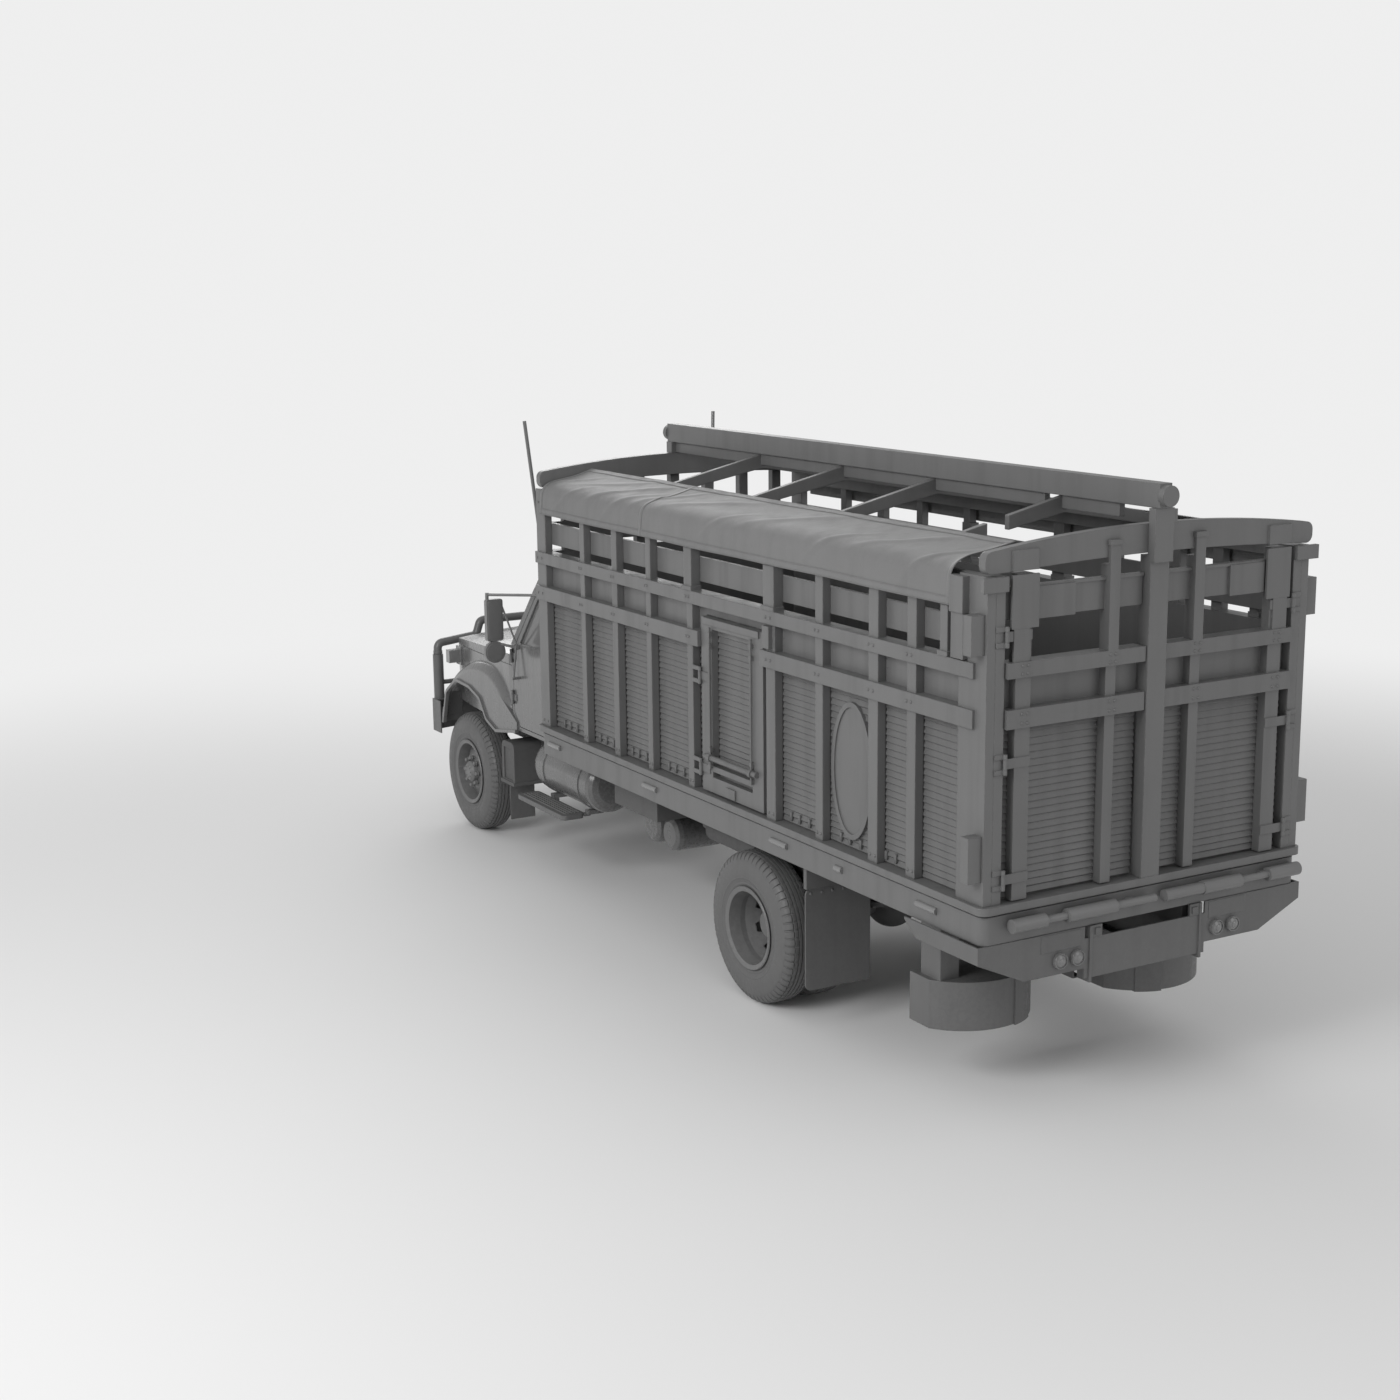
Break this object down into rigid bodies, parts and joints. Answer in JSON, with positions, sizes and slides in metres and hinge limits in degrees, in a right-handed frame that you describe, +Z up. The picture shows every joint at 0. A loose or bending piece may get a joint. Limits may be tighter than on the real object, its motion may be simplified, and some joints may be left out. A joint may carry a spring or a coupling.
{
  "type": "cargo truck",
  "caption": "Conventional-cab two-axle cargo truck with a slatted stake body, swinging rear gates, a side door, a ridge-pole roof frame and rolled side tarpaulins.",
  "frame": {"origin": "on the floor under the middle of the truck's overall length and width", "axes": "+X forward, +Y to the truck's left, +Z up"},
  "size_m": [8.795, 2.63, 3.7468],
  "materials": {
    "body_paint": "worn satin paint",
    "slat_paint": "worn satin paint over slats",
    "deck_boards": "worn planks",
    "canvas": "coarse waxed canvas",
    "cab_paint": "glossy paint",
    "glass": "clear tinted",
    "seat_vinyl": "grained vinyl",
    "cabin_plastic": "grained",
    "trim_metal": "satin",
    "lens": "ribbed lens",
    "engine_metal": "rough casting",
    "bumper_paint": "satin paint, scuffed",
    "tank_metal": "brushed",
    "chassis_paint": "dusty satin paint",
    "flap_rubber": "dull",
    "tyre_rubber": "dusty rubber",
    "wheel_paint": "satin paint"
  },
  "bodies": {
    "truck": {"air_tanks": "tank_metal", "bearers": "chassis_paint", "cab_floor": "chassis_paint", "cab_glass": "glass", "cab_roof": "cab_paint", "cab_shell": "cab_paint", "chassis_frame": "chassis_paint", "cowl": "cab_paint", "dashboard": "cabin_plastic", "deck": "deck_boards", "deck_sill": "body_paint", "engine_block": "engine_metal", "exhaust": "engine_metal", "front_axle": "chassis_paint", "front_bumper": "bumper_paint", "front_fenders": "cab_paint", "front_wall": "slat_paint", "fuel_tanks": "tank_metal", "grille": "trim_metal", "lamps": "lens", "leaf_springs": "chassis_paint", "lock_bars": "trim_metal", "mud_flaps": "flap_rubber", "rear_axle": "chassis_paint", "rear_bins": "bumper_paint", "rear_bumper": "bumper_paint", "rear_posts": "body_paint", "ridge_pole": "body_paint", "roof_frame": "body_paint", "seat": "seat_vinyl", "side_boxes": "chassis_paint", "side_steps": "bumper_paint", "tarp_left": "canvas", "tarp_right": "canvas", "wall_frame_left": "body_paint", "wall_frame_right": "body_paint", "wall_panel_left": "slat_paint", "wall_panel_right": "slat_paint"},
    "door_left": {"door_left": "cab_paint", "door_glass_left": "glass", "mirror_left": "trim_metal"},
    "door_right": {"door_right": "cab_paint", "door_glass_right": "glass", "mirror_right": "trim_metal"},
    "hood": {"hood": "cab_paint"},
    "side_door": {"side_door": "slat_paint"},
    "gate_left": {"gate_left": "slat_paint"},
    "gate_right": {"gate_right": "slat_paint"},
    "steer_left": {"knuckle_left": "engine_metal"},
    "steer_right": {"knuckle_right": "engine_metal"},
    "tie_rod": {"tie_rod": "chassis_paint"},
    "wheel_front_left": {"tyre_front_left": "tyre_rubber", "wheel_front_left": "wheel_paint"},
    "wheel_front_right": {"tyre_front_right": "tyre_rubber", "wheel_front_right": "wheel_paint"},
    "wheels_rear_left": {"tyres_rear_left": "tyre_rubber", "wheels_rear_left": "wheel_paint"},
    "wheels_rear_right": {"tyres_rear_right": "tyre_rubber", "wheels_rear_right": "wheel_paint"}
  },
  "joints": [
    {"name": "steer_left", "type": "hinge", "parent": "truck", "child": "steer_left", "pos_m": [3.568, 0.64, 0.532], "axis": [0, 0, 1], "range_deg": [-28, 28]},
    {"name": "steer_right", "type": "hinge", "parent": "truck", "child": "steer_right", "pos_m": [3.568, -0.64, 0.532], "axis": [0, 0, 1], "range_deg": [-28, 28]},
    {"name": "tie_rod_pivot", "type": "hinge", "parent": "steer_left", "child": "tie_rod", "pos_m": [3.368, 0.64, 0.441], "axis": [0, 0, 1], "range_deg": [-28, 28]},
    {"name": "spin_front_left", "type": "hinge", "parent": "steer_left", "child": "wheel_front_left", "pos_m": [3.568, 0.85, 0.532], "axis": [0, 1, 0], "continuous": true},
    {"name": "spin_front_right", "type": "hinge", "parent": "steer_right", "child": "wheel_front_right", "pos_m": [3.568, -0.85, 0.532], "axis": [0, 1, 0], "continuous": true},
    {"name": "spin_rear_left", "type": "hinge", "parent": "truck", "child": "wheels_rear_left", "pos_m": [-1.659, 0.912, 0.532], "axis": [0, 1, 0], "continuous": true},
    {"name": "spin_rear_right", "type": "hinge", "parent": "truck", "child": "wheels_rear_right", "pos_m": [-1.659, -0.912, 0.532], "axis": [0, 1, 0], "continuous": true},
    {"name": "cab_door_left", "type": "hinge", "parent": "truck", "child": "door_left", "pos_m": [2.533, 0.999, 1.6], "axis": [0, 0, -1], "range_deg": [0, 65]},
    {"name": "cab_door_right", "type": "hinge", "parent": "truck", "child": "door_right", "pos_m": [2.533, -0.999, 1.6], "axis": [0, 0, 1], "range_deg": [0, 65]},
    {"name": "hood_lift", "type": "hinge", "parent": "truck", "child": "hood", "pos_m": [2.666, 0, 1.872], "axis": [0, -1, 0], "range_deg": [0, 60]},
    {"name": "side_door_swing", "type": "hinge", "parent": "truck", "child": "side_door", "pos_m": [-1.087, 1.224, 2], "axis": [0, 0, -1], "range_deg": [0, 100]},
    {"name": "gate_swing_left", "type": "hinge", "parent": "truck", "child": "gate_left", "pos_m": [-4.314, 1.091, 2.2], "axis": [0, 0, -1], "range_deg": [0, 110]},
    {"name": "gate_swing_right", "type": "hinge", "parent": "truck", "child": "gate_right", "pos_m": [-4.314, -1.091, 2.2], "axis": [0, 0, 1], "range_deg": [0, 110]}
  ],
  "couplings": [
    {"joint": "steer_right", "follows": "steer_left", "ratio": 1},
    {"joint": "tie_rod_pivot", "follows": "steer_left", "ratio": -1}
  ]
}
